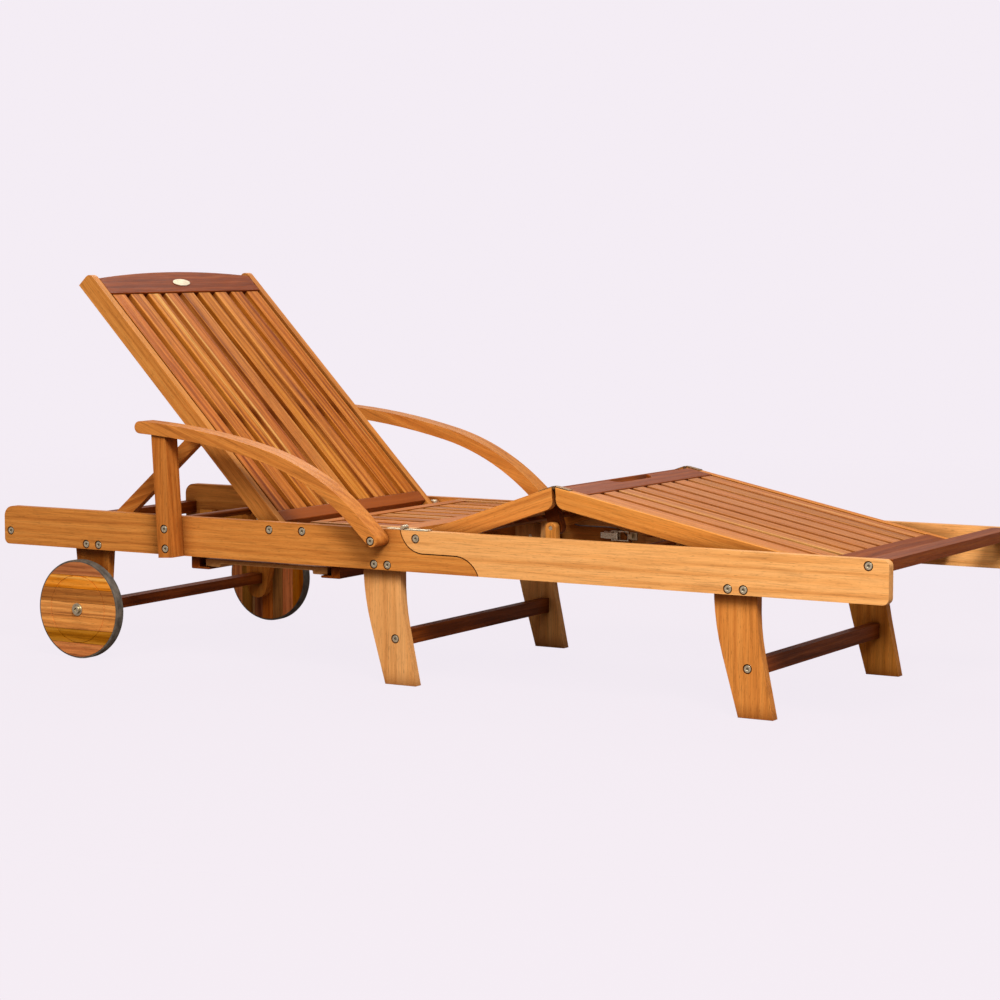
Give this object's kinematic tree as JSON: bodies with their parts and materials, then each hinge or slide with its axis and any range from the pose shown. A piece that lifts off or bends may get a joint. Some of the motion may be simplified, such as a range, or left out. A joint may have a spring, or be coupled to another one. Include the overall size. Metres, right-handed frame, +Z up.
{
  "type": "reclining sun lounger",
  "caption": "Slatted wooden sun lounger with a reclining back, raised knee, armrests, sliding tray, rear wheels and a hinged folding frame.",
  "frame": {"origin": "centre of the footprint, on the ground", "axes": "+X towards the foot end, +Y towards the left of a person lying on it, +Z up"},
  "size_m": [2, 0.7408, 0.7962],
  "materials": {
    "honey_wood": "oiled, satin",
    "amber_wood": "oiled, satin",
    "russet_wood": "oiled, satin",
    "umber_wood": "oiled, satin",
    "zinc": "zinc plated",
    "brass": "brushed",
    "tyre": "matt rubber"
  },
  "bodies": {
    "rear_frame": {"rear_rail_right": "amber_wood", "rear_rail_left": "amber_wood", "head_cross_bar": "russet_wood", "wheel_legs": "amber_wood", "axle_bar": "umber_wood", "axle_bolts": "zinc", "middle_legs": "honey_wood", "middle_stretcher": "umber_wood", "arm_posts": "amber_wood", "armrest_right": "honey_wood", "armrest_left": "honey_wood", "back_racks": "amber_wood", "seat_stiles": "honey_wood", "seat_rails": "amber_wood", "seat_slats": "russet_wood", "seat_corner_blocks": "honey_wood", "tray_runners": "russet_wood", "rear_bolts": "zinc", "fold_hinge_rear_leaves": "brass", "latch_bases": "zinc"},
    "foot_frame": {"front_rail_right": "honey_wood", "front_rail_left": "honey_wood", "foot_cross_rail": "russet_wood", "front_legs": "honey_wood", "front_stretcher": "umber_wood", "front_bolts": "zinc", "fold_hinge_front_leaves": "brass", "latch_strikes": "brass", "knee_racks": "honey_wood"},
    "backrest": {"back_stiles": "honey_wood", "crest_rail": "russet_wood", "back_cross_rails": "umber_wood", "back_slats": "amber_wood", "badge": "zinc", "back_prop_cleats": "umber_wood"},
    "back_prop": {"back_prop_struts": "amber_wood", "back_prop_bar": "russet_wood", "back_prop_pins": "zinc"},
    "thigh_panel": {"thigh_stiles": "honey_wood", "thigh_rails": "umber_wood", "thigh_slats": "russet_wood", "knee_hinge_thigh_leaves": "brass", "knee_prop_cleats": "umber_wood"},
    "knee_prop": {"knee_prop_struts": "amber_wood", "knee_prop_bar": "russet_wood", "knee_prop_pins": "zinc"},
    "calf_panel": {"calf_stiles": "honey_wood", "calf_top_rail": "russet_wood", "calf_bottom_rail": "russet_wood", "calf_slats": "amber_wood", "knee_hinge_calf_leaves": "brass"},
    "tray": {"tray": "honey_wood"},
    "wheel_right": {"wheel_disc_right": "amber_wood", "tyre_right": "tyre"},
    "wheel_left": {"wheel_disc_left": "amber_wood", "tyre_left": "tyre"},
    "lever_right": {"latch_lever_right": "zinc"},
    "lever_left": {"latch_lever_left": "zinc"},
    "bail_right": {"latch_bail_right": "zinc"},
    "bail_left": {"latch_bail_left": "zinc"}
  },
  "joints": [
    {"name": "backrest_recline", "type": "hinge", "parent": "rear_frame", "child": "backrest", "pos_m": [-0.319, 0, 0.29], "axis": [0, 1, 0], "range_deg": [-44.5, 12]},
    {"name": "back_prop_swing", "type": "hinge", "parent": "backrest", "child": "back_prop", "pos_m": [-0.54947, 0, 0.45668], "axis": [0, 1, 0], "range_deg": [-24, 88.5]},
    {"name": "frame_fold", "type": "hinge", "parent": "rear_frame", "child": "foot_frame", "pos_m": [-0.006, 0, 0.3106], "axis": [0, -1, 0], "range_deg": [0, 110]},
    {"name": "thigh_raise", "type": "hinge", "parent": "foot_frame", "child": "thigh_panel", "pos_m": [0.0245, 0, 0.2905], "axis": [0, -1, 0], "range_deg": [-19.2, 5]},
    {"name": "knee_bend", "type": "hinge", "parent": "thigh_panel", "child": "calf_panel", "pos_m": [0.30452, 0, 0.3986], "axis": [0, -1, 0], "range_deg": [-8.2, 31]},
    {"name": "knee_prop_swing", "type": "hinge", "parent": "thigh_panel", "child": "knee_prop", "pos_m": [0.28755, 0, 0.31963], "axis": [0, -1, 0], "range_deg": [-71, 18.6]},
    {"name": "wheel_right_spin", "type": "hinge", "parent": "rear_frame", "child": "wheel_right", "pos_m": [-0.786, -0.338, 0.1025], "axis": [0, 1, 0], "continuous": true},
    {"name": "wheel_left_spin", "type": "hinge", "parent": "rear_frame", "child": "wheel_left", "pos_m": [-0.786, 0.338, 0.1025], "axis": [0, 1, 0], "continuous": true},
    {"name": "tray_slide", "type": "slide", "parent": "rear_frame", "child": "tray", "axis": [0, -1, 0], "range_m": [0, 0.25]},
    {"name": "latch_lever_left_open", "type": "hinge", "parent": "rear_frame", "child": "lever_left", "pos_m": [0.131, 0.297, 0.246], "axis": [0, 0, 1], "range_deg": [0, 120]},
    {"name": "latch_bail_left_swing", "type": "hinge", "parent": "lever_left", "child": "bail_left", "pos_m": [0.119, 0.2985, 0.246], "axis": [0, 0, 1], "range_deg": [-120, 0]},
    {"name": "latch_lever_right_open", "type": "hinge", "parent": "rear_frame", "child": "lever_right", "pos_m": [0.131, -0.297, 0.246], "axis": [0, 0, -1], "range_deg": [0, 120]},
    {"name": "latch_bail_right_swing", "type": "hinge", "parent": "lever_right", "child": "bail_right", "pos_m": [0.119, -0.2985, 0.246], "axis": [0, 0, -1], "range_deg": [-120, 0]}
  ],
  "couplings": [
    {"joint": "back_prop_swing", "follows": "backrest_recline", "ratio": -1.98},
    {"joint": "knee_bend", "follows": "thigh_raise", "ratio": -1.609},
    {"joint": "knee_prop_swing", "follows": "thigh_raise", "ratio": 3.69},
    {"joint": "latch_bail_left_swing", "follows": "latch_lever_left_open", "ratio": -1},
    {"joint": "latch_bail_right_swing", "follows": "latch_lever_right_open", "ratio": -1}
  ]
}
